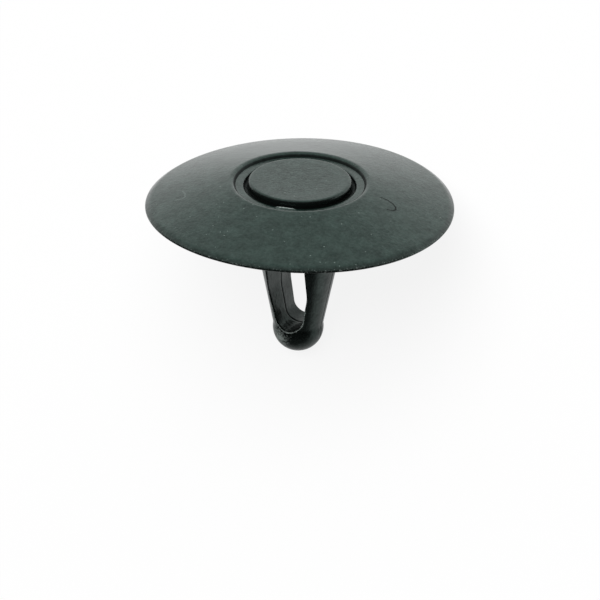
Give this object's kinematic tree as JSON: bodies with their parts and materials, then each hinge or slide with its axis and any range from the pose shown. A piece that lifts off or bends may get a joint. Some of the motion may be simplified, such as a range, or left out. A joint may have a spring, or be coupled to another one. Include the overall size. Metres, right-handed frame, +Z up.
{
  "type": "hood insulation clip",
  "caption": "Push-in clip with a wide shallow round head, a recessed push face and a split tapering stem with a ball tip, for pinning an insulation mat to a panel.",
  "frame": {"origin": "on the surface the clip lies on, under the middle of its bounding box", "axes": "+Z up; +X from leg to leg, across the head's full diameter; the head's face leans towards -Y and up, the tip points towards +Y and down"},
  "size_m": [0.03, 0.0222, 0.0223],
  "materials": {
    "black_nylon": "satin black, fine moulded grain"
  },
  "bodies": {
    "root": {"clip": "black_nylon"}
  },
  "joints": []
}
